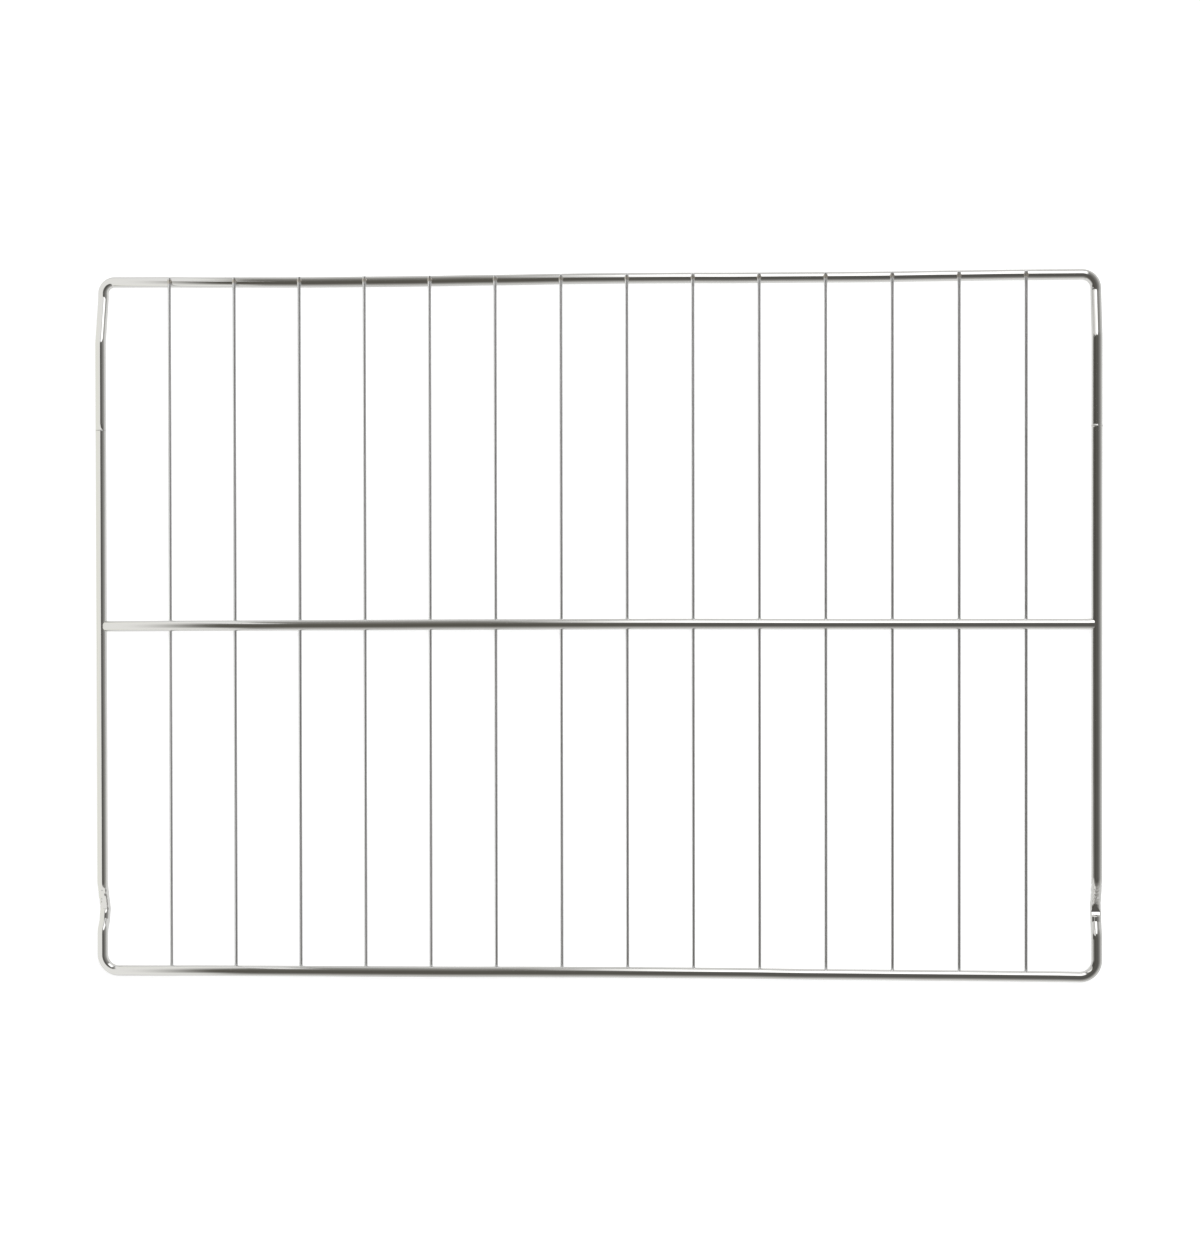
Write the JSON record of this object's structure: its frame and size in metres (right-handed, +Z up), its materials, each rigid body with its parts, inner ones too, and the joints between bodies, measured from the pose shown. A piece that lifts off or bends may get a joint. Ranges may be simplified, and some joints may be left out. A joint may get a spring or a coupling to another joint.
{
  "type": "oven shelf rack",
  "caption": "Flat plated wire oven shelf: a bent heavy-wire frame with a centre bar, thin cross wires, a stepped-down rear rail and V-shaped stop kinks in the side rails.",
  "frame": {"origin": "under the middle of the rack, on the surface that it lies on", "axes": "+X to the right along the front rail, +Y to the rear along the side rails, +Z up out of the side the picture shows"},
  "size_m": [0.5814, 0.4078, 0.0144],
  "materials": {
    "frame_wire_plating": "bright plated heavy drawn wire",
    "cross_wire_plating": "bright plated thin drawn wire"
  },
  "bodies": {
    "root": {"rear_frame_wire": "frame_wire_plating", "front_frame_wire": "frame_wire_plating", "centre_bar": "frame_wire_plating", "cross_wire_01": "cross_wire_plating", "cross_wire_02": "cross_wire_plating", "cross_wire_03": "cross_wire_plating", "cross_wire_04": "cross_wire_plating", "cross_wire_05": "cross_wire_plating", "cross_wire_06": "cross_wire_plating", "cross_wire_07": "cross_wire_plating", "cross_wire_08": "cross_wire_plating", "cross_wire_09": "cross_wire_plating", "cross_wire_10": "cross_wire_plating", "cross_wire_11": "cross_wire_plating", "cross_wire_12": "cross_wire_plating", "cross_wire_13": "cross_wire_plating", "cross_wire_14": "cross_wire_plating"}
  },
  "joints": []
}
